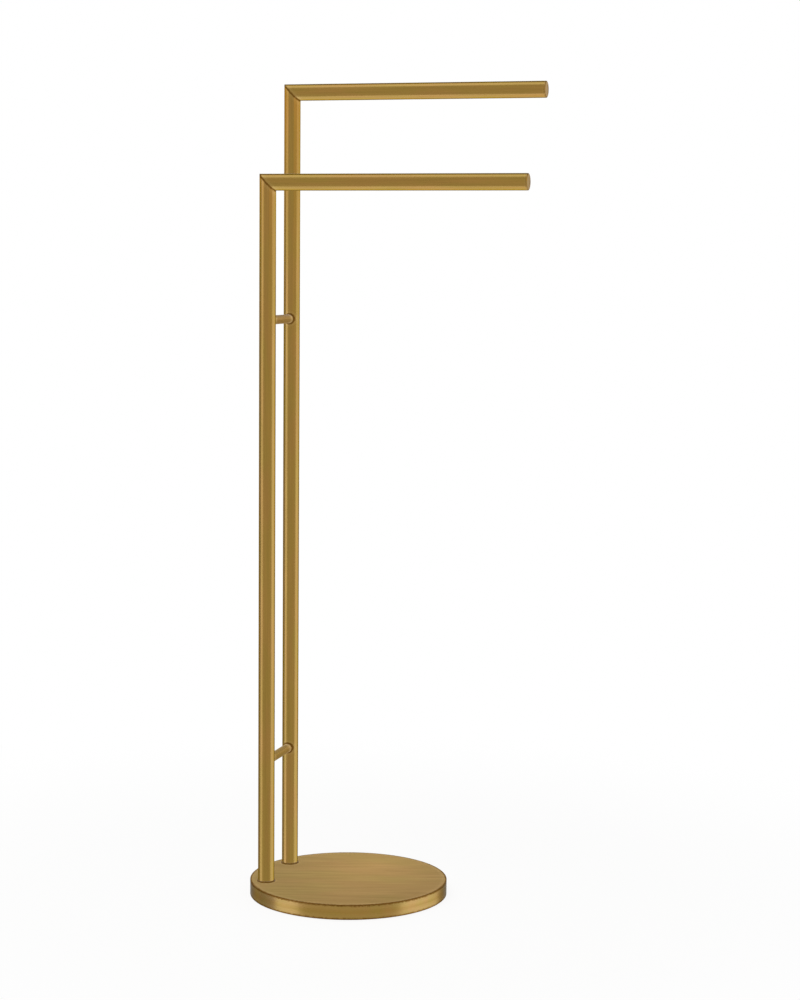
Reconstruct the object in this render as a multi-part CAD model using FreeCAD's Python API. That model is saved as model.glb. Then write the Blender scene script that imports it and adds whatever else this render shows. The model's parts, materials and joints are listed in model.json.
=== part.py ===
import FreeCAD, Part
import os
from math import cos, pi, sin, sqrt

# Freestanding towel stand: two L-shaped frames of round tube, one low in front and one tall
# behind, joined by two cross rods and bolted from below to a weighted round base.
#
# Millimetres. X runs along the towel bars to their free ends, Y from the front frame to the
# back frame, Z up. The origin is the middle of the base, on the floor.

# Tube frames
tube_diameter = 20.0
tube_wall = 1.5
front_height = 881.0          # floor to the top of the front towel bar
back_height = 993.0           # floor to the top of the back towel bar
stance_width = 90.0           # front upright to back upright, axis to axis
upright_inset = 19.0          # edge of the base to the axis of an upright, towards the middle
front_reach = 318.5           # upright axis to the free end of the front towel bar
back_reach = 318.5
seam_break = 0.3              # edge break on the outside of the mitred corner
tube_end_break = 0.4          # edge break where a tube meets a gasket or an end cap

# Pieces inside the tubes
fit_clearance = 0.1           # all round, between the bore of a tube and what fits in it
lead_in = 0.8                 # chamfer on whatever is pushed into a tube
insert_leg = 28.0             # corner insert, from the corner of the bores to the end of a leg
foot_plug_length = 28.0
cap_thickness = 1.8           # the part of an end cap that shows
cap_edge_radius = 1.2
cap_plug_length = 12.0

# Cross rods
rod_diameter = 11.0
upper_rod_height = 707.0
lower_rod_height = 169.0
rod_seat_gap = 0.1            # solder gap between the hollowed rod end and the upright
dowel_diameter = 5.0
dowel_length = 20.0
dowel_in_rod = 13.0
dowel_clearance = 0.05
dowel_air_space = 1.0         # left at the bottom of the hole in the rod
dowel_chamfer = 0.5

# Base
base_diameter = 243.0
base_height = 19.0            # floor to the top of the cover
cover_top_thickness = 2.0
cover_wall = 2.0
cover_edge_break = 0.5
cover_floor_gap = 1.0         # the rim of the cover stays this far off the floor
weight_clearance = 0.2        # all round, between the cover and the weight
weight_edge_break = 1.0
pad_thickness = 2.0
pad_inset = 4.0               # edge of the base to the edge of the pad
gasket_thickness = 1.6
gasket_overhang = 1.0         # past the outside of the tube, all round

# M8 low-head bolts, with a flat washer and a spring washer under each head
bolt_diameter = 8.0
bolt_length = 25.0
bolt_head_diameter = 13.0
bolt_head_height = 5.0
bolt_socket_width = 5.0       # across flats
bolt_socket_depth = 3.0
bolt_end_chamfer = 1.0
bolt_hole_clearance = 0.5     # all round, in the weight, the cover and the gasket
thread_clearance = 0.05       # all round, between the bolt and the thread of the foot plug
washer_diameter = 16.0
washer_thickness = 1.6
washer_clearance = 0.2        # all round, between either washer and the bolt
spring_washer_diameter = 14.8
spring_washer_thickness = 2.0
spring_washer_slit = 1.6
recess_clearance = 1.0        # all round, between the flat washer and its recess
bolt_head_sink = 0.4          # the head stays this far inside the weight

# Worked out from the sizes above
tube_radius = tube_diameter / 2
bore_radius = tube_radius - tube_wall
fit_radius = bore_radius - fit_clearance
dowel_radius = dowel_diameter / 2
dowel_hole_radius = dowel_radius + dowel_clearance
base_radius = base_diameter / 2
upright_x = -sqrt((base_radius - upright_inset) ** 2 - (stance_width / 2) ** 2)
cover_underside = base_height - cover_top_thickness
foot_height = base_height + gasket_thickness
bolt_radius = bolt_diameter / 2
bolt_hole_radius = bolt_radius + bolt_hole_clearance
washer_hole_radius = bolt_radius + washer_clearance
recess_radius = washer_diameter / 2 + recess_clearance
bolt_head_bottom = pad_thickness + bolt_head_sink
bolt_head_top = bolt_head_bottom + bolt_head_height
spring_washer_top = bolt_head_top + spring_washer_thickness
washer_seat = spring_washer_top + washer_thickness

up = FreeCAD.Vector(0, 0, 1)
along_bar = FreeCAD.Vector(1, 0, 0)
to_the_back = FreeCAD.Vector(0, 1, 0)
mitre_normal = FreeCAD.Vector(1, 0, 1).normalize()
tiny = 0.001                  # for picking edges by their place

# Each frame by its name: which side of the middle it stands on, its height and its reach
frames = {
    "front": (-1, front_height, front_reach),
    "back": (1, back_height, back_reach),
}


def on_upright(side, height=0.0):
    """The point on an upright's axis at a height above the floor."""
    return FreeCAD.Vector(upright_x, side * stance_width / 2, height)


def frame_corner(side, height):
    """Where the axes of an upright and its towel bar cross."""
    return on_upright(side, height - tube_radius)


def rod_end(side, height):
    """Where the axis of a cross rod meets its hollowed end."""
    return on_upright(side, height) - to_the_back * side * (tube_radius + rod_seat_gap)


def turned(profile, base, axis=up):
    """A solid of revolution from (radius, distance along the axis) points."""
    points = [FreeCAD.Vector(0, radius, distance) for radius, distance in profile]
    outline = Part.makePolygon(points + [points[0]])
    solid = Part.Face(outline).revolve(FreeCAD.Vector(0, 0, 0), up, 360)
    solid.Placement = FreeCAD.Placement(base, FreeCAD.Rotation(up, axis))
    return solid


def tube(start, length, axis):
    """A round tube with an edge break on the outside of its far end."""
    profile = [
        (bore_radius, 0),
        (tube_radius, 0),
        (tube_radius, length - tube_end_break),
        (tube_radius - tube_end_break, length),
        (bore_radius, length),
    ]
    return turned(profile, start, axis)


def plug(start, length, axis, hole_radius=0.0):
    """A round plug that fits in a tube, with a lead-in on its far end."""
    profile = [
        (hole_radius, 0),
        (fit_radius, 0),
        (fit_radius, length - lead_in),
        (fit_radius - lead_in, length),
        (hole_radius, length),
    ]
    return turned(profile, start, axis)


def mitred(piece, corner, drop_bar_side):
    """Cuts a piece along the plane that leans at 45 degrees through a frame's corner."""
    size = 4 * tube_diameter
    block_bottom = 0.0 if drop_bar_side else -size
    block = Part.makeBox(2 * size, 2 * size, size, FreeCAD.Vector(-size, -size, block_bottom))
    block.Placement = FreeCAD.Placement(corner, FreeCAD.Rotation(up, mitre_normal))
    return piece.cut(block)


def with_seam_break(piece, corner):
    """Breaks the outer edge of a mitred tube end, all round the seam."""
    seam = []
    for edge in piece.Edges:
        middle = edge.valueAt((edge.FirstParameter + edge.LastParameter) / 2)
        points = [middle] + [vertex.Point for vertex in edge.Vertexes]
        on_plane = all(abs((point - corner).dot(mitre_normal)) < tiny for point in points)
        if on_plane and edge.BoundBox.YLength > 2 * bore_radius + tiny:
            seam.append(edge)
    return piece.makeChamfer(seam_break, seam)


def upright(side, height):
    """Upright tube: plain foot, mitred top, a dowel hole for each cross rod."""
    corner = frame_corner(side, height)
    body = tube(on_upright(side, height), height - foot_height, -up)
    body = with_seam_break(mitred(body, corner, True), corner)
    for rod_height in (upper_rod_height, lower_rod_height):
        middle = on_upright(side, rod_height)
        hole = Part.makeCylinder(dowel_hole_radius, tube_diameter, middle, to_the_back * -side)
        body = body.cut(hole)
    return body


def towel_bar(side, height, reach):
    """Towel bar tube: mitred at the upright, open at the free end for its cap."""
    corner = frame_corner(side, height)
    length = tube_radius + reach - cap_thickness
    body = tube(corner - along_bar * tube_radius, length, along_bar)
    return with_seam_break(mitred(body, corner, False), corner)


def corner_insert(side, height):
    """Solid elbow inside the corner of a frame, one leg in each tube."""
    corner = frame_corner(side, height)
    length = fit_radius + insert_leg
    down = plug(corner + up * fit_radius, length, -up)
    across = plug(corner - along_bar * fit_radius, length, along_bar)
    return mitred(down, corner, True).fuse(mitred(across, corner, False)).removeSplitter()


def end_cap(side, height, reach):
    """Cap with a rounded edge, on a shank that fits in the free end of a towel bar."""
    tube_end = frame_corner(side, height) + along_bar * (reach - cap_thickness)
    disc = Part.makeCylinder(tube_radius, cap_thickness, tube_end, along_bar)
    rim = [edge for edge in disc.Edges if edge.BoundBox.XMin > tube_end.x + tiny]
    disc = disc.makeFillet(cap_edge_radius, rim)
    shank = plug(tube_end, cap_plug_length, -along_bar)
    return disc.fuse(shank).removeSplitter()


def foot_plug(side):
    """Plug with an M8 thread, flush with the foot of an upright."""
    thread_radius = bolt_radius + thread_clearance
    return plug(on_upright(side, foot_height), foot_plug_length, up, thread_radius)


def foot_gasket(side):
    """Ring between the foot of an upright and the cover, seen as a dark line round the foot."""
    radius = tube_radius + gasket_overhang
    profile = [
        (bolt_hole_radius, 0),
        (radius, 0),
        (radius, gasket_thickness),
        (bolt_hole_radius, gasket_thickness),
    ]
    return turned(profile, on_upright(side, base_height))


def cross_rod(height):
    """Solid rod between the uprights, its ends hollowed to sit on them and bored for dowels."""
    rod = Part.makeCylinder(rod_diameter / 2, stance_width, on_upright(-1, height), to_the_back)
    saddle_radius = tube_radius + rod_seat_gap
    bore_depth = dowel_in_rod + dowel_air_space
    for side in (-1, 1):
        inward = to_the_back * -side
        saddle_start = on_upright(side, height - rod_diameter)
        saddle = Part.makeCylinder(saddle_radius, 2 * rod_diameter, saddle_start, up)
        bore = Part.makeCylinder(dowel_hole_radius, bore_depth, rod_end(side, height), inward)
        rod = rod.cut(saddle).cut(bore)
    return rod


def rod_dowels():
    """Four dowels, one in each end of each cross rod and through the wall of the upright."""
    profile = [
        (0, 0),
        (dowel_radius - dowel_chamfer, 0),
        (dowel_radius, dowel_chamfer),
        (dowel_radius, dowel_length - dowel_chamfer),
        (dowel_radius - dowel_chamfer, dowel_length),
        (0, dowel_length),
    ]
    dowels = []
    for height in (upper_rod_height, lower_rod_height):
        for side in (-1, 1):
            outward = to_the_back * side
            start = rod_end(side, height) - outward * dowel_in_rod
            dowels.append(turned(profile, start, outward))
    return Part.makeCompound(dowels)


def with_bolt_holes(body, radius, bottom, top):
    """Cuts a round hole under each upright, from one height to another."""
    for side in (-1, 1):
        hole = Part.makeCylinder(radius, top - bottom, on_upright(side, bottom), up)
        body = body.cut(hole)
    return body


def base_cover():
    """Turned cover: a flat top with a crisp edge and a straight wall, open below."""
    inner_radius = base_radius - cover_wall
    profile = [
        (0, base_height),
        (base_radius - cover_edge_break, base_height),
        (base_radius, base_height - cover_edge_break),
        (base_radius, cover_floor_gap),
        (inner_radius, cover_floor_gap),
        (inner_radius, cover_underside),
        (0, cover_underside),
    ]
    cover = turned(profile, FreeCAD.Vector(0, 0, 0))
    return with_bolt_holes(cover, bolt_hole_radius, cover_underside, base_height)


def base_weight():
    """Cast disc that fills the cover, with a stepped hole for each bolt."""
    radius = base_radius - cover_wall - weight_clearance
    profile = [
        (0, pad_thickness),
        (radius - weight_edge_break, pad_thickness),
        (radius, pad_thickness + weight_edge_break),
        (radius, cover_underside - weight_edge_break),
        (radius - weight_edge_break, cover_underside),
        (0, cover_underside),
    ]
    weight = turned(profile, FreeCAD.Vector(0, 0, 0))
    weight = with_bolt_holes(weight, bolt_hole_radius, washer_seat, cover_underside)
    return with_bolt_holes(weight, recess_radius, pad_thickness, washer_seat)


def base_pad():
    """Soft pad under the weight, with a hole below each bolt."""
    pad = Part.makeCylinder(base_radius - pad_inset, pad_thickness)
    return with_bolt_holes(pad, recess_radius, 0, pad_thickness)


def hexagon(middle):
    """The hexagon socket of a bolt head, upwards from its opening."""
    corner_radius = bolt_socket_width / 2 / cos(pi / 6)
    corners = []
    for corner in range(7):
        angle = corner * pi / 3
        corners.append(middle + FreeCAD.Vector(cos(angle), sin(angle), 0) * corner_radius)
    return Part.Face(Part.makePolygon(corners)).extrude(up * bolt_socket_depth)


def base_bolts():
    """Two low-head bolts with hexagon sockets, screwed up into the foot plugs."""
    bolt_tip = bolt_head_top + bolt_length
    profile = [
        (0, bolt_head_bottom),
        (bolt_head_diameter / 2, bolt_head_bottom),
        (bolt_head_diameter / 2, bolt_head_top),
        (bolt_radius, bolt_head_top),
        (bolt_radius, bolt_tip - bolt_end_chamfer),
        (bolt_radius - bolt_end_chamfer, bolt_tip),
        (0, bolt_tip),
    ]
    bolts = []
    for side in (-1, 1):
        bolt = turned(profile, on_upright(side))
        bolts.append(bolt.cut(hexagon(on_upright(side, bolt_head_bottom))))
    return Part.makeCompound(bolts)


def washer(side, outer_radius, bottom, top):
    """A flat ring round a bolt."""
    profile = [
        (washer_hole_radius, bottom),
        (outer_radius, bottom),
        (outer_radius, top),
        (washer_hole_radius, top),
    ]
    return turned(profile, on_upright(side))


def base_washers():
    """Two flat washers against the weight."""
    radius = washer_diameter / 2
    rings = [washer(side, radius, spring_washer_top, washer_seat) for side in (-1, 1)]
    return Part.makeCompound(rings)


def base_spring_washers():
    """Two split spring washers, tightened flat, between the bolt heads and the flat washers."""
    radius = spring_washer_diameter / 2
    washers = []
    for side in (-1, 1):
        ring = washer(side, radius, bolt_head_top, spring_washer_top)
        slit_corner = on_upright(side, bolt_head_top) - to_the_back * (spring_washer_slit / 2)
        slit = Part.makeBox(2 * radius, spring_washer_slit, spring_washer_thickness, slit_corner)
        washers.append(ring.cut(slit))
    return Part.makeCompound(washers)


def all_pieces():
    """Every piece of the stand by its name."""
    pieces = {
        "base_cover": base_cover(),
        "base_weight": base_weight(),
        "base_pad": base_pad(),
        "base_bolts": base_bolts(),
        "base_washers": base_washers(),
        "base_spring_washers": base_spring_washers(),
        "upper_cross_rod": cross_rod(upper_rod_height),
        "lower_cross_rod": cross_rod(lower_rod_height),
        "rod_dowels": rod_dowels(),
    }
    for name, (side, height, reach) in frames.items():
        pieces[name + "_foot_gasket"] = foot_gasket(side)
        pieces[name + "_foot_plug"] = foot_plug(side)
        pieces[name + "_upright"] = upright(side, height)
        pieces[name + "_corner_insert"] = corner_insert(side, height)
        pieces[name + "_towel_bar"] = towel_bar(side, height, reach)
        pieces[name + "_end_cap"] = end_cap(side, height, reach)
    return pieces


os.makedirs("parts", exist_ok=True)
for node, shape in all_pieces().items():
    shape.exportStep("parts/" + node + ".step")
    print(node, len(shape.Solids), "solids", shape.isValid(), round(shape.Volume, 1), "mm3")
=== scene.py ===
# A freestanding towel stand in brushed, aged brass: two towel bars, each on an upright, on a round base.
import json
import math
import bpy
from mathutils import Matrix, Vector


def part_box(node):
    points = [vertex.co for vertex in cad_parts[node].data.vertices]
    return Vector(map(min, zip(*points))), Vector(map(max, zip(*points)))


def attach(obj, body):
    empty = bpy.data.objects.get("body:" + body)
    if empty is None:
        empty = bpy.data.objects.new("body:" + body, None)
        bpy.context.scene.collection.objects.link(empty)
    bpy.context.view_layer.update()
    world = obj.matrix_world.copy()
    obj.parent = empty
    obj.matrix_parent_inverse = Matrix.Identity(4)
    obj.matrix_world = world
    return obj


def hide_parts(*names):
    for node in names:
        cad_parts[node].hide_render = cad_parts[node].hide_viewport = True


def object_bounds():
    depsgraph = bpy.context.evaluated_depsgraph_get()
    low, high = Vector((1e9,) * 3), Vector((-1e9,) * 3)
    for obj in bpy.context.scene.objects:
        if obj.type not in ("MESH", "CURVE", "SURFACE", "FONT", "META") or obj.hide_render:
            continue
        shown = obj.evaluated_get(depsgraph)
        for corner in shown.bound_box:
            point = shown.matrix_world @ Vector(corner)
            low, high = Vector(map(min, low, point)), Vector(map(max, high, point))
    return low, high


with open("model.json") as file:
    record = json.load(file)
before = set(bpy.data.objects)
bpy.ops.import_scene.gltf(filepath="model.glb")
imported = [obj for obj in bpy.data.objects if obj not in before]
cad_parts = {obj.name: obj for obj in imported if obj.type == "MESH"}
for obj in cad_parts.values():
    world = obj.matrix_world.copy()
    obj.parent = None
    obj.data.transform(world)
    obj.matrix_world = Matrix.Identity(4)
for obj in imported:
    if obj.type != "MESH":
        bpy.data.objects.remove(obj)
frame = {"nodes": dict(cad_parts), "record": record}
cadLow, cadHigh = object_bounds()
print("frame loaded")

mm = 0.001
tiny = 0.01 * mm  # for picking points by their place

# places and sizes from the frame
barLow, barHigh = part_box("front_towel_bar")
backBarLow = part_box("back_towel_bar")[0]
uprightLow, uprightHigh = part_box("front_upright")
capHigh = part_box("front_end_cap")[1]
coverLow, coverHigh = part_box("base_cover")
upperRodLow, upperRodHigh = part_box("upper_cross_rod")
lowerRodLow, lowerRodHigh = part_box("lower_cross_rod")

tubeRadius = (barHigh.y - barLow.y) / 2
rodRadius = (upperRodHigh.z - upperRodLow.z) / 2
coverRadius = min(-coverLow.x, coverHigh.x, -coverLow.y, coverHigh.y)
uprightX = (uprightLow.x + uprightHigh.x) / 2
stanceY = -(barLow.y + barHigh.y) / 2
footZ = uprightLow.z
coverTop = coverHigh.z
coverBottom = coverLow.z
barEndX = barHigh.x
rodHeights = {
    "upper": (upperRodLow.z + upperRodHigh.z) / 2,
    "lower": (lowerRodLow.z + lowerRodHigh.z) / 2,
}
frames = {
    "front": {"y": -stanceY, "barZ": barLow.z + tubeRadius, "towardsMiddle": 1},
    "back": {"y": stanceY, "barZ": backBarLow.z + tubeRadius, "towardsMiddle": -1},
}
up = Vector((0, 0, 1))
alongBar = Vector((1, 0, 0))
towardsBack = Vector((0, 1, 0))
mitreNormal = (up + alongBar).normalized()


def linear(hexColour):  # an sRGB hex colour as a linear one
    channels = [int(hexColour[place:place + 2], 16) / 255 for place in (1, 3, 5)]
    return [c / 12.92 if c < 0.04045 else ((c + 0.055) / 1.055) ** 2.4 for c in channels] + [1]


def addNode(tree, kind, settings, inputs):  # one shader node with its settings, values and links
    node = tree.nodes.new("ShaderNode" + kind)
    for setting, value in settings.items():
        setattr(node, setting, value)
    for socket, value in inputs.items():
        if isinstance(value, bpy.types.NodeSocket):
            tree.links.new(value, node.inputs[socket])
        else:
            node.inputs[socket].default_value = value
    return node


def newMaterial(name):  # an empty material, its tree and the place of a point on the piece
    material = bpy.data.materials.new(name)
    material.use_nodes = True
    material.node_tree.nodes.clear()
    coordinates = addNode(material.node_tree, "TexCoord", {}, {})
    return material, material.node_tree, coordinates.outputs["Object"]


# the camera, where the picture's view was taken from
cameraView = {
    "place": (0.81379, -2.61687, 0.77578),
    "turn": 16.0247,  # degrees to the left
    "down": 5.9608,
    "roll": 0.4887,
    "lens": 81.485,
    "sensor": 36,
}


def placeCamera(view):
    bpy.ops.object.select_all(action="DESELECT")
    bpy.ops.object.camera_add(location=view["place"])
    camera = bpy.context.object
    camera.name = "viewCamera"
    turn = Matrix.Rotation(math.radians(view["turn"]), 3, "Z")
    tilt = Matrix.Rotation(math.radians(90 - view["down"]), 3, "X")
    roll = Matrix.Rotation(math.radians(view["roll"]), 3, "Z")
    camera.rotation_euler = (turn @ tilt @ roll).to_euler()
    camera.data.lens = view["lens"]
    camera.data.sensor_width = view["sensor"]
    bpy.context.scene.camera = camera
    return camera


camera = placeCamera(cameraView)
print("camera placed")

# shaping in edit mode
mergeWithin = 0.001 * mm
sharpFrom = 40  # degrees between two faces from which their edge stays sharp


def blank(name, sides, radius, place, turn=(0, 0, 0)):  # a flat round blank that a piece starts from
    bpy.ops.object.select_all(action="DESELECT")
    bpy.ops.mesh.primitive_circle_add(
        vertices=sides, radius=radius, fill_type="NGON", location=place, rotation=turn)
    bpy.ops.object.transform_apply(location=True, rotation=True, scale=True)
    piece = bpy.context.object
    piece.name = piece.data.name = name
    return piece


def pick(piece, kind, test):  # selects the faces or edges that have all their points pass the test
    bpy.ops.object.mode_set(mode="EDIT")
    bpy.ops.mesh.select_all(action="DESELECT")
    bpy.ops.mesh.select_mode(type=kind)
    bpy.ops.object.mode_set(mode="OBJECT")
    points = piece.data.vertices
    for element in piece.data.polygons if kind == "FACE" else piece.data.edges:
        element.select = all(test(points[index].co) for index in element.vertices)
    bpy.ops.object.mode_set(mode="EDIT")


def finishPiece(piece, replaced, slotName, *materials):  # soft shading, finish and place in the stand
    bpy.ops.object.mode_set(mode="EDIT")
    bpy.ops.mesh.select_all(action="SELECT")
    bpy.ops.mesh.remove_doubles(threshold=mergeWithin)
    bpy.ops.mesh.normals_make_consistent(inside=False)
    bpy.ops.object.mode_set(mode="OBJECT")
    bpy.ops.object.shade_smooth_by_angle(angle=math.radians(sharpFrom))
    bpy.ops.object.modifier_add(type="WEIGHTED_NORMAL")
    piece.modifiers[-1].keep_sharp = True
    bpy.ops.object.modifier_apply(modifier=piece.modifiers[-1].name)
    for material in materials:
        piece.data.materials.append(material)
    piece.visible_glossy = False  # the pieces keep the cards' plain bands, and don't mirror each other
    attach(piece, "root")
    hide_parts(replaced)


# aged brass: drawn tube and spun sheet, darkened, then brushed back by hand and waxed. The eye gets long
# fine scratches, olive and warm clouds, brown patina that the brush leaves in the seams, painted shade
# where parts meet and along edges, painted highlights beside them, and a painted pool of light on the
# base's top
agedBrass = {
    "olive": "#AF8D43",
    "warm": "#B48B47",
    # dark brown: the patina's colour, also painted as shade where parts meet and along edges
    "patinaAndShade": "#6E460A",
    # the lighter colour beside the seams: rubbed brass, partly a painted highlight
    "relievedAndHighlight": "#D9B878",
    # the edge tint is the metal's colour at a low angle, darker than clean brass where wax lies thick
    "waxed": {"edgeTint": "#B9AE88", "roughness": 0.24},
    "spun": {"edgeTint": "#B1B3B3", "roughness": 0.24},
    "satin": {"edgeTint": "#EFE1C2", "roughness": 0.42},
    "turned": {"edgeTint": "#C8BFAF", "roughness": 0.3},
    "cloudSize": (12 * mm, 70 * mm),  # across and along the brushing, as is the streaks' size
    "cloudSpan": (0.38, 0.62),  # the noise's values from plain olive to plain warm
    "cloudDetail": 2.0,
    "streakSize": (1.5 * mm, 90 * mm),  # real brush lines are under 0.1 mm wide, too fine to show
    "streakDetail": 3.0,
    "streakHarshness": 0.6,
    "streakDepth": 0.03 * mm,
    "streakBump": 0.5,
    "streakShade": (0.92, 1.08),  # how bright the darkest and the lightest streaks are
    "streakRoughness": 0.04,  # the darkest are rougher and the lightest smoother by this
    "patinaAndShadeRoughness": 0.2,  # patina and painted shade are rougher by this
    "seamLine": 1 * mm,
    # shares of a seam's line: its border's wander, and where the patina-and-shade and rubbed-and-highlight
    # bands begin and end
    "wander": 0.3,
    "patinaAndShadeFull": 0.3,
    "patinaAndShadeEnd": 1.4,
    "reliefAndHighlightEnd": 4.5,
    "wobbleSize": 2.5 * mm,
    "wobbleDetail": 1.0,
    # how far a seam goes to the dark patina-and-shade colour, and the brass beside it to the lighter
    # rubbed-and-highlight one
    "fineSeam": {"patinaAndShade": 0.85, "reliefAndPaintedLight": 0.15},
    "solderedSeam": {"patinaAndShade": 1.0, "reliefAndPaintedLight": 0.5},
}
noiseLow, noiseHigh = 0.3, 0.7  # nearly all values of a noise lie between these
mixShare, mixFrom, mixTo = 0, 6, 7  # a colour mix's inputs, by number as their names repeat
mixColour = 2  # and its output


def nearestEdge(tree, position, edges):  # distance to the nearest edge, 1 at the end of its dark line
    nearest = None
    for edge in edges:
        offset = addNode(tree, "VectorMath", {"operation": "SUBTRACT"}, {
            0: position, 1: edge["at"]}).outputs[0]
        parts = {}
        if edge["kind"] in ("plane", "circle"):
            along = addNode(tree, "VectorMath", {"operation": "DOT_PRODUCT"}, {
                0: offset, 1: edge["axis"]})
            parts["X"] = along.outputs["Value"]
        if edge["kind"] in ("round", "circle"):
            across = addNode(tree, "VectorMath", {"operation": "CROSS_PRODUCT"}, {
                0: offset, 1: edge["axis"]})
            fromAxis = addNode(tree, "VectorMath", {"operation": "LENGTH"}, {0: across.outputs[0]})
            fromRound = addNode(tree, "Math", {"operation": "SUBTRACT"}, {
                0: fromAxis.outputs["Value"], 1: edge["radius"]})
            parts["Y"] = fromRound.outputs[0]
        if "side" in edge:  # only the side of the piece that faces this way has the edge
            facing = addNode(tree, "VectorMath", {"operation": "DOT_PRODUCT"}, {
                0: offset, 1: edge["side"]})
            beyond = addNode(tree, "Math", {"operation": "MINIMUM"}, {
                0: facing.outputs["Value"], 1: 0.0})
            parts["Z"] = beyond.outputs[0]
        apart = addNode(tree, "CombineXYZ", {}, parts)
        length = addNode(tree, "VectorMath", {"operation": "LENGTH"}, {0: apart.outputs[0]})
        distance = addNode(tree, "Math", {"operation": "DIVIDE"}, {
            0: length.outputs["Value"], 1: edge.get("line", agedBrass["seamLine"])}).outputs[0]
        if nearest is not None:
            distance = addNode(tree, "Math", {"operation": "MINIMUM"}, {
                0: nearest, 1: distance}).outputs[0]
        nearest = distance
    return nearest


def spread(size, along):  # a size across and along the brushing, as sizes along x, y and z
    across, long = size
    return [long if part else across for part in along]


def brushStreaks(tree, position, sizes, turn, turnedAbout):  # straight lines, or rings round a bar
    place = position
    if turn:
        turned = addNode(tree, "VectorRotate", {"rotation_type": "Z_AXIS"}, {
            "Vector": position, "Angle": math.radians(-turn)})
        place = turned.outputs[0]
    if turnedAbout is not None:
        offset = addNode(tree, "VectorMath", {"operation": "SUBTRACT"}, {
            0: position, 1: turnedAbout})
        across = addNode(tree, "VectorMath", {"operation": "CROSS_PRODUCT"}, {
            0: offset.outputs[0], 1: alongBar})
        fromAxis = addNode(tree, "VectorMath", {"operation": "LENGTH"}, {0: across.outputs[0]})
        place = addNode(tree, "CombineXYZ", {}, {"X": fromAxis.outputs["Value"]}).outputs[0]
    grain = addNode(tree, "Mapping", {}, {
        "Vector": place, "Scale": [1 / size for size in sizes]})
    return addNode(tree, "TexNoise", {}, {
        "Vector": grain.outputs[0], "Scale": 1.0, "Detail": agedBrass["streakDetail"],
        "Roughness": agedBrass["streakHarshness"]}).outputs[0]


def brushedColour(tree, position, streaks, cloudSizes, heldPatina, paintedLightPool):  # away from the seams
    cloudPlace = addNode(tree, "Mapping", {}, {
        "Vector": position, "Scale": [1 / size for size in cloudSizes]})
    clouds = addNode(tree, "TexNoise", {}, {
        "Vector": cloudPlace.outputs[0], "Scale": 1.0, "Detail": agedBrass["cloudDetail"]}).outputs[0]
    mostOlive, mostWarm = agedBrass["cloudSpan"]
    warmth = addNode(tree, "MapRange", {}, {
        "Value": clouds, "From Min": mostOlive, "From Max": mostWarm})
    tone = addNode(tree, "Mix", {"data_type": "RGBA"}, {
        mixShare: warmth.outputs[0],
        mixFrom: linear(agedBrass["olive"]),
        mixTo: linear(agedBrass["warm"])}).outputs[mixColour]
    if heldPatina:  # where the brush hardly reached
        tone = addNode(tree, "Mix", {"data_type": "RGBA"}, {
            mixShare: heldPatina,
            mixFrom: tone,
            mixTo: linear(agedBrass["patinaAndShade"])}).outputs[mixColour]
    darkest, brightest = agedBrass["streakShade"]
    brightness = addNode(tree, "MapRange", {}, {
        "Value": streaks, "From Min": noiseLow, "From Max": noiseHigh,
        "To Min": darkest, "To Max": brightest}).outputs[0]
    if paintedLightPool is not None:  # a painted highlight and shade: brighter round this place, darker away from it
        apart = addNode(tree, "VectorMath", {"operation": "SUBTRACT"}, {
            0: position, 1: paintedLightPool["at"]})
        scaled = addNode(tree, "VectorMath", {"operation": "DIVIDE"}, {
            0: apart.outputs[0], 1: paintedLightPool["reach"]})
        share = addNode(tree, "VectorMath", {"operation": "LENGTH"}, {0: scaled.outputs[0]})
        reliefAndPaintedLight = addNode(tree, "MapRange", {}, {
            "Value": share.outputs["Value"], "To Min": paintedLightPool["here"], "To Max": paintedLightPool["away"]})
        brightness = addNode(tree, "Math", {"operation": "MULTIPLY"}, {
            0: brightness, 1: reliefAndPaintedLight.outputs[0]}).outputs[0]
    return addNode(tree, "Mix", {"data_type": "RGBA", "blend_type": "MULTIPLY"}, {
        mixShare: 1.0, mixFrom: tone, mixTo: brightness}).outputs[mixColour]


def seamPatinaAndPaintedLight(tree, position, edges, seam):  # shares of patina and painted shade in the seams, and of rubbed brass with a painted highlight beside them
    wobble = addNode(tree, "TexNoise", {}, {
        "Vector": position, "Scale": 1 / agedBrass["wobbleSize"],
        "Detail": agedBrass["wobbleDetail"]}).outputs[0]
    wander = addNode(tree, "MapRange", {}, {
        "Value": wobble, "From Min": noiseLow, "From Max": noiseHigh,
        "To Min": -agedBrass["wander"], "To Max": agedBrass["wander"]})
    ragged = addNode(tree, "Math", {"operation": "ADD"}, {
        0: nearestEdge(tree, position, edges), 1: wander.outputs[0]}).outputs[0]
    patinaAndPaintedShade = addNode(tree, "MapRange", {"interpolation_type": "SMOOTHSTEP"}, {
        "Value": ragged, "From Min": agedBrass["patinaAndShadeFull"], "From Max": agedBrass["patinaAndShadeEnd"],
        "To Min": agedBrass[seam]["patinaAndShade"], "To Max": 0.0}).outputs[0]
    rubbedAndPaintedHighlight = addNode(tree, "MapRange", {"interpolation_type": "SMOOTHSTEP"}, {
        "Value": ragged, "From Min": agedBrass["patinaAndShadeEnd"], "From Max": agedBrass["reliefAndHighlightEnd"],
        "To Min": agedBrass[seam]["reliefAndPaintedLight"], "To Max": 0.0}).outputs[0]
    return patinaAndPaintedShade, rubbedAndPaintedHighlight


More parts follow.
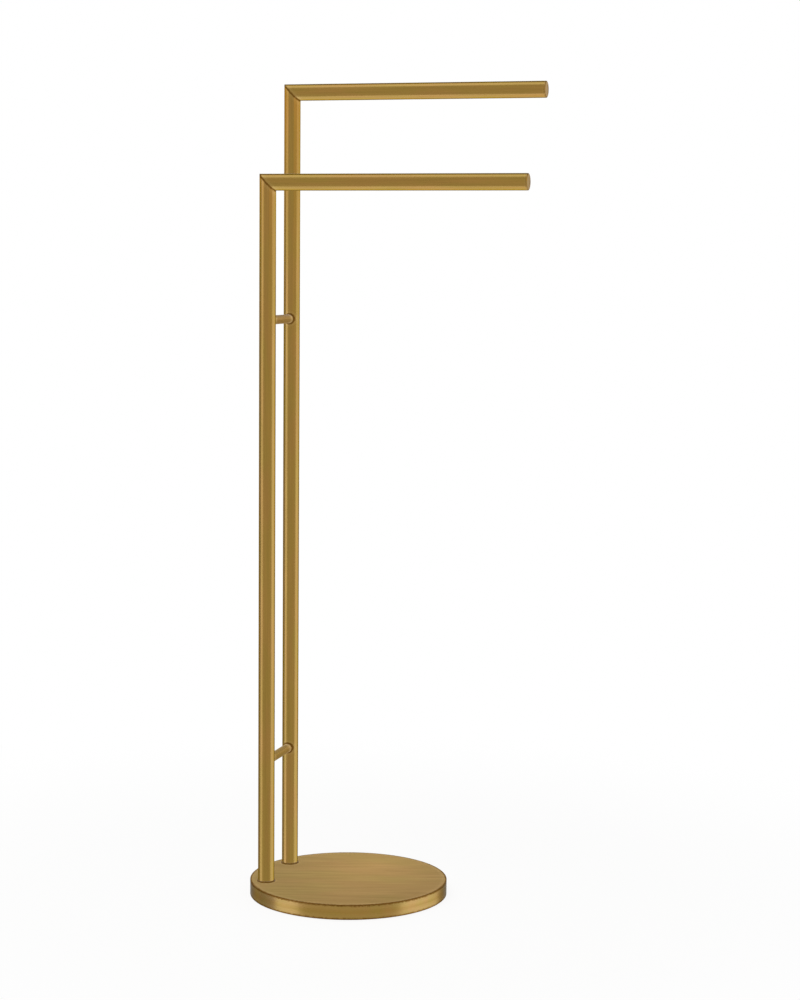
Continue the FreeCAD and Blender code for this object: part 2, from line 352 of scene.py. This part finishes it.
def makeAgedBrass(
        name, along, edges, gloss="waxed", turnedAbout=None, streakSize=None, cloudSize=None, turn=0,
        heldPatina=0.0, paintedLightPool=None, seam="fineSeam"):
    material, tree, position = newMaterial(name)
    streakSizes = streakSize or spread(agedBrass["streakSize"], along)
    cloudSizes = cloudSize or spread(agedBrass["cloudSize"], along)
    streaks = brushStreaks(tree, position, streakSizes, turn, turnedAbout)
    brushed = brushedColour(tree, position, streaks, cloudSizes, heldPatina, paintedLightPool)
    patinaAndPaintedShade, rubbedAndPaintedHighlight = seamPatinaAndPaintedLight(tree, position, edges, seam)
    rubbedAndHighlighted = addNode(tree, "Mix", {"data_type": "RGBA"}, {
        mixShare: rubbedAndPaintedHighlight,
        mixFrom: brushed,
        mixTo: linear(agedBrass["relievedAndHighlight"])}).outputs[mixColour]
    colour = addNode(tree, "Mix", {"data_type": "RGBA"}, {
        mixShare: patinaAndPaintedShade,
        mixFrom: rubbedAndHighlighted,
        mixTo: linear(agedBrass["patinaAndShade"])}).outputs[mixColour]

    smooth = agedBrass[gloss]["roughness"]
    uneven = addNode(tree, "MapRange", {}, {
        "Value": streaks, "From Min": noiseLow, "From Max": noiseHigh,
        "To Min": smooth + agedBrass["streakRoughness"],
        "To Max": smooth - agedBrass["streakRoughness"]})
    roughness = addNode(tree, "Math", {"operation": "MULTIPLY_ADD"}, {
        0: patinaAndPaintedShade, 1: agedBrass["patinaAndShadeRoughness"], 2: uneven.outputs[0]})
    bump = addNode(tree, "Bump", {}, {
        "Strength": agedBrass["streakBump"], "Distance": agedBrass["streakDepth"], "Height": streaks})
    shader = addNode(tree, "BsdfPrincipled", {}, {
        "Base Color": colour,
        "Metallic": 1.0,
        "Roughness": roughness.outputs[0],
        "Specular Tint": linear(agedBrass[gloss]["edgeTint"]),
        "Normal": bump.outputs[0]})
    addNode(tree, "OutputMaterial", {}, {"Surface": shader.outputs[0]})
    return material


# uprights and towel bars
tube = {
    "sides": 96,
    "wall": 1.5 * mm,
    "seamBreak": 0.3 * mm,
    "endBreak": 0.4 * mm,
    "breakSteps": 2,
    # dark lines: the mitre and the bar's end are dark joints, the foot line is painted contact shadow, and
    # the ring round each rod joint is painted shade
    "mitreLine": 1.3 * mm,
    "footLine": 0.4 * mm,
    "endLine": 0.35 * mm,
    "rodJointShadeRing": 0.75 * mm,
}


def tubeLength(name, start, along, length):  # a tube with a real wall, both ends square
    turn = up.rotation_difference(along).to_euler()
    piece = blank(name, tube["sides"], tubeRadius, start, turn)
    bpy.ops.object.mode_set(mode="EDIT")
    bpy.ops.mesh.inset(thickness=tube["wall"], depth=0)
    bpy.ops.mesh.delete(type="FACE")
    bpy.ops.mesh.select_all(action="SELECT")
    bpy.ops.mesh.extrude_region_move(TRANSFORM_OT_translate={"value": along * length})
    return piece


def mitreCut(corner, dropBarSide):  # cuts the tube at 45 degrees and closes its wall there
    bpy.ops.mesh.select_all(action="SELECT")
    bpy.ops.mesh.bisect(
        plane_co=corner, plane_no=mitreNormal, clear_outer=dropBarSide, clear_inner=not dropBarSide)
    bpy.ops.mesh.select_mode(type="EDGE")
    bpy.ops.mesh.select_all(action="DESELECT")
    bpy.ops.mesh.select_non_manifold(
        extend=False, use_wire=False, use_boundary=True, use_multi_face=False)
    bpy.ops.mesh.bridge_edge_loops()


def breakEdge(piece, width, centre, normal, along):  # bevels the tube's outer edge on a plane
    def onEdge(point):
        offset = point - centre
        fromAxis = (offset - along * offset.dot(along)).length
        return abs(offset.dot(normal)) < tiny and abs(fromAxis - tubeRadius) < tiny
    pick(piece, "EDGE", onEdge)
    bpy.ops.mesh.bevel(offset=width, segments=tube["breakSteps"], affect="EDGES")


def makeUpright(side, place):
    corner = Vector((uprightX, place["y"], place["barZ"]))
    foot = Vector((uprightX, place["y"], footZ))
    piece = tubeLength(side + "UprightTube", foot, up, place["barZ"] + tubeRadius - footZ)
    mitreCut(corner, True)
    breakEdge(piece, tube["seamBreak"], corner, mitreNormal, up)
    breakEdge(piece, tube["endBreak"], foot, up, up)
    # at the foot and round the rods the dark bands are painted shade where parts meet
    edges = [
        {"kind": "plane", "at": corner, "axis": mitreNormal, "line": tube["mitreLine"]},
        {"kind": "plane", "at": foot, "axis": up, "line": tube["footLine"]},
    ]
    for height in rodHeights.values():
        edges.append({
            "kind": "round", "at": Vector((uprightX, place["y"], height)), "axis": towardsBack,
            "radius": rodRadius + tube["rodJointShadeRing"], "side": towardsBack * place["towardsMiddle"]})
    finishPiece(piece, side + "_upright", "aged_brass", makeAgedBrass(
        side + "UprightBrushedBrass", up, edges))


def makeBar(side, place):
    corner = Vector((uprightX, place["y"], place["barZ"]))
    end = Vector((barEndX, place["y"], place["barZ"]))
    start = corner - alongBar * tubeRadius
    piece = tubeLength(side + "TowelBarTube", start, alongBar, end.x - start.x)
    mitreCut(corner, False)
    breakEdge(piece, tube["seamBreak"], corner, mitreNormal, alongBar)
    breakEdge(piece, tube["endBreak"], end, alongBar, alongBar)
    edges = [
        {"kind": "plane", "at": corner, "axis": mitreNormal, "line": tube["mitreLine"]},
        {"kind": "plane", "at": end, "axis": alongBar, "line": tube["endLine"]},
    ]
    finishPiece(piece, side + "_towel_bar", "aged_brass", makeAgedBrass(
        side + "BarBrushedBrass", alongBar, edges))


for side, place in frames.items():
    makeUpright(side, place)
    makeBar(side, place)
print("tube frames made")

# end caps
cap = {
    "sides": 96,
    "edgeRadius": 1.2 * mm,
    "edgeSteps": 6,
    "shankGap": 0.1 * mm,
    "leadIn": 0.8 * mm,
    "shankLength": 12 * mm,
    # the rim line is painted shade along the face's rounded edge
    "rimLine": 0.8 * mm,
    "farPaintedShadeLine": 6 * mm,  # painted shade: a dark band on the side of the face towards the back
    "turnedRings": [0.7 * mm] * 3,
    "heldPatina": 0.12,
}


def makeEndCap(side, place):  # a turned disc with a shank that plugs the bar's end
    middle = Vector((barEndX, place["y"], place["barZ"]))
    turn = up.rotation_difference(alongBar).to_euler()
    piece = blank(side + "EndCapTurned", cap["sides"], tubeRadius, middle, turn)
    thickness = capHigh.x - barEndX
    bpy.ops.object.mode_set(mode="EDIT")
    bpy.ops.mesh.select_all(action="SELECT")
    bpy.ops.mesh.extrude_region_move(TRANSFORM_OT_translate={"value": alongBar * thickness})
    pick(piece, "FACE", lambda point: point.x < barEndX + tiny)
    bpy.ops.mesh.inset(thickness=tube["wall"] + cap["shankGap"], depth=0)
    bpy.ops.mesh.extrude_region_move(TRANSFORM_OT_translate={"value": -alongBar * cap["shankLength"]})
    pick(piece, "EDGE", lambda point: point.x < barEndX - cap["shankLength"] + tiny)
    bpy.ops.mesh.bevel(offset=cap["leadIn"], segments=1, affect="EDGES")
    pick(piece, "EDGE", lambda point: point.x > capHigh.x - tiny)
    bpy.ops.mesh.bevel(offset=cap["edgeRadius"], segments=cap["edgeSteps"], affect="EDGES")
    rim = middle + alongBar * thickness
    farSide = rim + towardsBack * tubeRadius
    edges = [
        {"kind": "circle", "at": rim, "axis": alongBar, "radius": tubeRadius, "line": cap["rimLine"]},
        {"kind": "plane", "at": farSide, "axis": towardsBack, "line": cap["farPaintedShadeLine"]},
    ]
    finishPiece(piece, side + "_end_cap", "aged_brass", makeAgedBrass(
        side + "CapTurnedBrass", alongBar, edges, "turned", turnedAbout=middle,
        streakSize=cap["turnedRings"], heldPatina=cap["heldPatina"]))


for side, place in frames.items():
    makeEndCap(side, place)
print("end caps made")

# cross rods
rod = {
    "sides": 64,
    "seatGap": 0.1 * mm,
    "filletRadius": 0.4 * mm,
    "filletSteps": 5,
    "solderTintAndShadeLine": 3.2 * mm,  # the ends are darkened by heat tint and by painted shade where they meet the uprights, and next to them lightened as rubbed brass and a painted highlight
    "heldPatina": 0.36,
}


def makeCrossRod(level, height):  # its ends flare into solder fillets and fit the round of the uprights
    halfLength = stanceY - tubeRadius - rod["seatGap"]
    straightHalf = halfLength - rod["filletRadius"]
    start = Vector((uprightX, -straightHalf, height))
    turn = up.rotation_difference(towardsBack).to_euler()
    piece = blank(level + "CrossRodSoldered", rod["sides"], rodRadius, start, turn)
    bpy.ops.object.mode_set(mode="EDIT")
    bpy.ops.mesh.select_all(action="SELECT")
    bpy.ops.mesh.extrude_region_move(TRANSFORM_OT_translate={"value": towardsBack * 2 * straightHalf})
    for sign in (-1, 1):
        pick(piece, "FACE", lambda point: point.y * sign > straightHalf - tiny)
        radius, reach = rodRadius, 0
        for step in range(1, rod["filletSteps"] + 1):
            swing = math.radians(90) * step / rod["filletSteps"]
            newRadius = rodRadius + rod["filletRadius"] * (1 - math.cos(swing))
            newReach = rod["filletRadius"] * math.sin(swing)
            move = towardsBack * sign * (newReach - reach)
            bpy.ops.mesh.extrude_region_move(TRANSFORM_OT_translate={"value": move})
            scale = newRadius / radius
            bpy.ops.transform.resize(value=(scale, 1, scale))
            radius, reach = newRadius, newReach
        bpy.ops.mesh.poke()
    bpy.ops.object.mode_set(mode="OBJECT")
    seat = tubeRadius + rod["seatGap"]
    for vertex in piece.data.vertices:
        if abs(vertex.co.y) > straightHalf - tiny:
            sideways = vertex.co.x - uprightX
            drop = seat - math.sqrt(seat ** 2 - sideways ** 2)  # how far the upright falls away here
            vertex.co.y += math.copysign(drop, vertex.co.y)
    edges = [{
        "kind": "round", "at": Vector((uprightX, place["y"], height)), "axis": up,
        "radius": tubeRadius, "line": rod["solderTintAndShadeLine"]} for place in frames.values()]
    finishPiece(piece, level + "_cross_rod", "aged_brass", makeAgedBrass(
        level + "RodBrushedBrass", towardsBack, edges, "satin", heldPatina=rod["heldPatina"],
        seam="solderedSeam"))


for level, height in rodHeights.items():
    makeCrossRod(level, height)
print("cross rods made")

# base cover
cover = {
    "sides": 288,
    "wall": 2 * mm,
    "top": 2 * mm,
    "edgeBreak": 0.5 * mm,
    "edgeSteps": 3,
    "rimBreak": 0.2 * mm,
    "rimSteps": 2,
    # the dark lines on the top's edge and the wall's bottom are painted shade, and the one round each foot
    # is painted contact shadow
    "edgeLine": 2.1 * mm,
    "footLine": 1.2 * mm,
    # a painted highlight and shade: the top is lighter towards this place and darker away from it
    "paintedLightPool": {
        "at": (10 * mm, 70 * mm, 0), "reach": (110 * mm, 165 * mm, 1), "here": 1.1, "away": 0.82},
    # the top is brushed straight across, drawn coarse as it lies at a low angle
    "topStreak": (70 * mm, 3.5 * mm, 60 * mm),
    "topCloud": (90 * mm, 45 * mm, 60 * mm),
    "topTurn": 16,  # degrees that the brushing runs off the bars' line
    "wallStreak": (60 * mm, 60 * mm, 1.2 * mm),
    "topShare": 0.9,  # faces that look up more than this are the brushed top
}


def makeCover():
    piece = blank("baseCoverSpun", cover["sides"], coverRadius, (0, 0, coverBottom))
    outside = up * (coverTop - coverBottom)
    inside = up * (coverTop - cover["top"] - coverBottom)
    bpy.ops.object.mode_set(mode="EDIT")
    bpy.ops.mesh.select_all(action="SELECT")
    bpy.ops.mesh.extrude_region_move(TRANSFORM_OT_translate={"value": outside})
    pick(piece, "FACE", lambda point: point.z < coverBottom + tiny)
    bpy.ops.mesh.inset(thickness=cover["wall"], depth=0)
    bpy.ops.mesh.extrude_region_move(TRANSFORM_OT_translate={"value": inside})
    pick(piece, "EDGE", lambda point: point.z > coverTop - tiny)
    bpy.ops.mesh.bevel(offset=cover["edgeBreak"], segments=cover["edgeSteps"], affect="EDGES")
    pick(piece, "EDGE", lambda point: (
        point.z < coverBottom + tiny and point.xy.length > coverRadius - tiny))
    bpy.ops.mesh.bevel(offset=cover["rimBreak"], segments=cover["rimSteps"], affect="EDGES")
    # dark bands on the top's edge and the wall's bottom edge are painted shade, and the ring round each
    # foot is painted contact shadow
    topEdge = {
        "kind": "circle", "at": up * coverTop, "axis": up, "radius": coverRadius,
        "line": cover["edgeLine"]}
    topEdges = [topEdge]
    for place in frames.values():
        topEdges.append({
            "kind": "round", "at": Vector((uprightX, place["y"], coverTop)), "axis": up,
            "radius": tubeRadius, "line": cover["footLine"]})
    wallEdges = [
        topEdge,
        {"kind": "plane", "at": up * coverBottom, "axis": up, "line": cover["edgeLine"]},
    ]
    finishPiece(
        piece, "base_cover", "aged_brass",
        makeAgedBrass(
            "coverTopSatinBrass", alongBar, topEdges, "satin", streakSize=cover["topStreak"],
            cloudSize=cover["topCloud"], turn=cover["topTurn"], paintedLightPool=cover["paintedLightPool"]),
        makeAgedBrass(
            "coverWallSpunBrass", alongBar, wallEdges, "spun", streakSize=cover["wallStreak"]))
    for face in piece.data.polygons:
        face.material_index = 0 if face.normal.z > cover["topShare"] else 1


makeCover()
print("base cover made")

# the pieces kept from the frame
grainy = {
    "grainDetail": 4.0,
    "blotchSize": 12 * mm,
    "blotchDetail": 2.0,
    "blotchSpan": (0.35, 0.65),  # the noise's values from one colour to the other
    "uneven": 0.06,  # how far the roughness goes up and down
    "bump": 0.6,
}


def grainyFinish(name, colours, grainSize, grainDepth, roughness, metallic=0.0):
    material, tree, position = newMaterial(name)
    grain = addNode(tree, "TexNoise", {}, {
        "Vector": position, "Scale": 1 / grainSize, "Detail": grainy["grainDetail"]}).outputs[0]
    blotches = addNode(tree, "TexNoise", {}, {
        "Vector": position, "Scale": 1 / grainy["blotchSize"],
        "Detail": grainy["blotchDetail"]}).outputs[0]
    firstColour, secondColour = grainy["blotchSpan"]
    share = addNode(tree, "MapRange", {}, {
        "Value": blotches, "From Min": firstColour, "From Max": secondColour})
    colour = addNode(tree, "Mix", {"data_type": "RGBA"}, {
        mixShare: share.outputs[0], mixFrom: linear(colours[0]), mixTo: linear(colours[1])})
    uneven = addNode(tree, "MapRange", {}, {
        "Value": grain, "From Min": noiseLow, "From Max": noiseHigh,
        "To Min": roughness + grainy["uneven"], "To Max": roughness - grainy["uneven"]})
    bump = addNode(tree, "Bump", {}, {
        "Strength": grainy["bump"], "Distance": grainDepth, "Height": grain})
    shader = addNode(tree, "BsdfPrincipled", {}, {
        "Base Color": colour.outputs[mixColour],
        "Metallic": metallic,
        "Roughness": uneven.outputs[0],
        "Normal": bump.outputs[0]})
    addNode(tree, "OutputMaterial", {}, {"Surface": shader.outputs[0]})
    return material


keptFinishes = {
    # sand-cast brass, left as it came from the mould: dull yellow with a sandy skin
    "cast_brass": grainyFinish(
        "sandCastBrass", ("#B9985A", "#A5854B"),
        grainSize=0.6 * mm, grainDepth=0.05 * mm, roughness=0.5, metallic=1.0),
    # rolled and zinc-plated steel: cool grey, faintly clouded by the passivation
    "zinc_plated_steel": grainyFinish(
        "zincPlatedSteel", ("#C2C5C9", "#B7B8AE"),
        grainSize=0.3 * mm, grainDepth=0.01 * mm, roughness=0.34, metallic=1.0),
    # grey iron cast in sand and dipped in black paint: coarse, matt and nearly black
    "cast_iron": grainyFinish(
        "blackDippedCastIron", ("#2B2A2A", "#363330"),
        grainSize=1.2 * mm, grainDepth=0.15 * mm, roughness=0.66),
    # die-cut foam rubber: matt black, with fine closed cells
    "black_pad": grainyFinish(
        "dieCutFoamRubber", ("#262321", "#2E2B28"),
        grainSize=0.5 * mm, grainDepth=0.06 * mm, roughness=0.85),
    # vulcanised fibre, pressed in sheets and punched: dark brown, matt, faintly mottled
    "brown_fibre": grainyFinish(
        "punchedBrownFibre", ("#7A560C", "#866312"),
        grainSize=0.35 * mm, grainDepth=0.02 * mm, roughness=0.75),
}
for part in frame["record"]["subparts"]:
    if part["material_slot"] in keptFinishes:
        node = frame["nodes"][part["node"]]
        node.visible_glossy = False
        for slot in node.material_slots:
            slot.link = "OBJECT"
            slot.material = keptFinishes[part["material_slot"]]
print("kept pieces finished")

# studio
studio = {
    "worldStrength": 0.6,
    "lampWatts": 25,
    "lampSize": 1.6,
    "lampPlace": (-0.5, -1.1, 2.5),
    "cardDistance": 8.0,
    "cardSides": 180,
    "cardRings": 90,
    # each card's brightness and reach: degrees from the camera, or heights where 1 is straight up
    "grey": {"level": 0.62, "left": -60, "right": 69, "below": -63, "above": 70},
    "soft": {"level": 1.82, "horizon": 0.03},
    "dark": {"level": 0.6, "left": -93, "over": 110, "height": 0.45},
    "backGrey": {"level": 0.6, "from": 128, "lowest": -0.6},
    "warm": {"level": 1.15, "sideways": 0.6, "lowest": 0.1, "underfoot": 0.24},
    "light": {
        "grey": "#FFFFFF", "soft": "#D5DDFF", "dark": "#DADFFF", "backGrey": "#FFFFFF",
        "warm": "#EDDCB6"},
}
white = linear("#FFFFFF")
towardsCamera = Vector((camera.location.x, camera.location.y, 0)).normalized()
standMiddle = Vector((0, 0, (cadLow.z + cadHigh.z) / 2))


def cardFor(direction):  # which card the metal sees this way
    flat = Vector((direction.x, direction.y, 0))
    right = math.degrees(math.atan2(towardsCamera.cross(flat).z, towardsCamera.dot(flat)))
    above = math.degrees(math.atan2(direction.z, -direction.y))
    grey, dark, backGrey, warm = studio["grey"], studio["dark"], studio["backGrey"], studio["warm"]
    if abs(direction.x) > warm["sideways"] and direction.z > warm["lowest"]:
        return "warm"
    if direction.z < 0 and flat.length < warm["underfoot"]:
        return "warm"
    if grey["left"] < right < grey["right"] and grey["below"] < above < grey["above"]:
        return "grey"
    if dark["left"] > right > -backGrey["from"] and abs(direction.z) < dark["height"]:
        return "dark"
    if above > dark["over"] and direction.z > dark["height"]:
        return "dark"
    if abs(right) > backGrey["from"] and backGrey["lowest"] < direction.z < studio["soft"]["horizon"]:
        return "backGrey"
    return "soft"


def studioCard(name):  # a curved card round the stand, which only the metal sees
    bpy.ops.object.select_all(action="DESELECT")
    bpy.ops.mesh.primitive_uv_sphere_add(
        segments=studio["cardSides"], ring_count=studio["cardRings"], radius=studio["cardDistance"],
        location=standMiddle)
    bpy.ops.object.transform_apply(location=True)
    card = bpy.context.object
    card.name = name + "Card"
    bpy.ops.object.mode_set(mode="EDIT")
    bpy.ops.mesh.select_mode(type="FACE")
    bpy.ops.mesh.select_all(action="DESELECT")
    bpy.ops.object.mode_set(mode="OBJECT")
    for face in card.data.polygons:
        face.select = cardFor((face.center - standMiddle).normalized()) != name
    bpy.ops.object.mode_set(mode="EDIT")
    bpy.ops.mesh.delete(type="FACE")
    bpy.ops.object.mode_set(mode="OBJECT")
    material, tree = newMaterial(name + "Card")[:2]
    glow = addNode(tree, "Emission", {}, {
        "Color": linear(studio["light"][name]), "Strength": studio[name]["level"]})
    addNode(tree, "OutputMaterial", {}, {"Surface": glow.outputs[0]})
    material.cycles.emission_sampling = "NONE"
    card.data.materials.append(material)
    card.visible_camera = card.visible_shadow = card.visible_diffuse = False


def seenPlainly(tree):  # 1 for what the camera sees, also in metal or through glass, and 0 for light
    path = addNode(tree, "LightPath", {}, {})
    cameraOrGlossy = addNode(tree, "Math", {"operation": "MAXIMUM"}, {
        0: path.outputs["Is Camera Ray"], 1: path.outputs["Is Glossy Ray"]})
    anyOfThem = addNode(tree, "Math", {"operation": "MAXIMUM"}, {
        0: cameraOrGlossy.outputs[0], 1: path.outputs["Is Transmission Ray"]})
    return anyOfThem.outputs[0]


def makeBackground():  # plain white to look at, and soft light on the stand
    world = bpy.data.worlds.new("softStudio")
    bpy.context.scene.world = world
    world.use_nodes = True
    tree = world.node_tree
    tree.nodes.clear()
    softLight = addNode(tree, "Background", {}, {"Color": white, "Strength": studio["worldStrength"]})
    plainWhite = addNode(tree, "Background", {}, {"Color": white, "Strength": 1.0})
    mixed = addNode(tree, "MixShader", {}, {
        0: seenPlainly(tree), 1: softLight.outputs[0], 2: plainWhite.outputs[0]})
    addNode(tree, "OutputWorld", {}, {"Surface": mixed.outputs[0]})


def hangLamp():  # lights the matt parts and the floor, as the metal sees only the cards
    bpy.ops.object.select_all(action="DESELECT")
    bpy.ops.object.light_add(type="AREA", location=studio["lampPlace"])
    lamp = bpy.context.object
    lamp.name = "softOverheadLamp"
    lamp.rotation_euler = (standMiddle - lamp.location).to_track_quat("-Z", "Y").to_euler()
    lamp.data.shape = "DISK"
    lamp.data.size = studio["lampSize"]
    lamp.data.energy = studio["lampWatts"]
    lamp.visible_glossy = False


# a pale floor, which the camera sees as nearly white with the stand's soft shadow on it
floor = {
    "sides": 128,
    "radius": 3.0,
    "drop": 0.05 * mm,
    "paint": "#F3F3F1",
    # it is this white under the stand, and fades to plain white between these distances
    "whiteNear": 0.9,
    "fadeFrom": 0.3,
    "fadeTo": 1.0,
}


def makeFloor():
    piece = blank("studioFloor", floor["sides"], floor["radius"], (0, 0, -floor["drop"]))
    material, tree, position = newMaterial("mattFloorPaint")
    fromMiddle = addNode(tree, "VectorMath", {"operation": "LENGTH"}, {0: position})
    whiteShare = addNode(tree, "MapRange", {"interpolation_type": "SMOOTHSTEP"}, {
        "Value": fromMiddle.outputs["Value"], "From Min": floor["fadeFrom"], "From Max": floor["fadeTo"],
        "To Min": floor["whiteNear"], "To Max": 1.0})
    share = addNode(tree, "Math", {"operation": "MULTIPLY"}, {
        0: seenPlainly(tree), 1: whiteShare.outputs[0]})
    paint = addNode(tree, "BsdfDiffuse", {}, {"Color": linear(floor["paint"])})
    glow = addNode(tree, "Emission", {}, {"Color": white, "Strength": 1.0})
    lit = addNode(tree, "MixShader", {}, {0: share.outputs[0], 1: paint.outputs[0], 2: glow.outputs[0]})
    # from below the floor is clear, so that the underside of the stand shows
    geometry = addNode(tree, "NewGeometry", {}, {})
    clear = addNode(tree, "BsdfTransparent", {}, {})
    seen = addNode(tree, "MixShader", {}, {
        0: geometry.outputs["Backfacing"], 1: lit.outputs[0], 2: clear.outputs[0]})
    addNode(tree, "OutputMaterial", {}, {"Surface": seen.outputs[0]})
    material.cycles.emission_sampling = "NONE"
    piece.data.materials.append(material)
    piece.visible_glossy = False  # so that the tubes and the base's wall keep the cards' bands


for name in studio["light"]:
    studioCard(name)
bpy.context.scene.view_settings.view_transform = "Standard"
makeBackground()
hangLamp()
makeFloor()
print("studio lit")
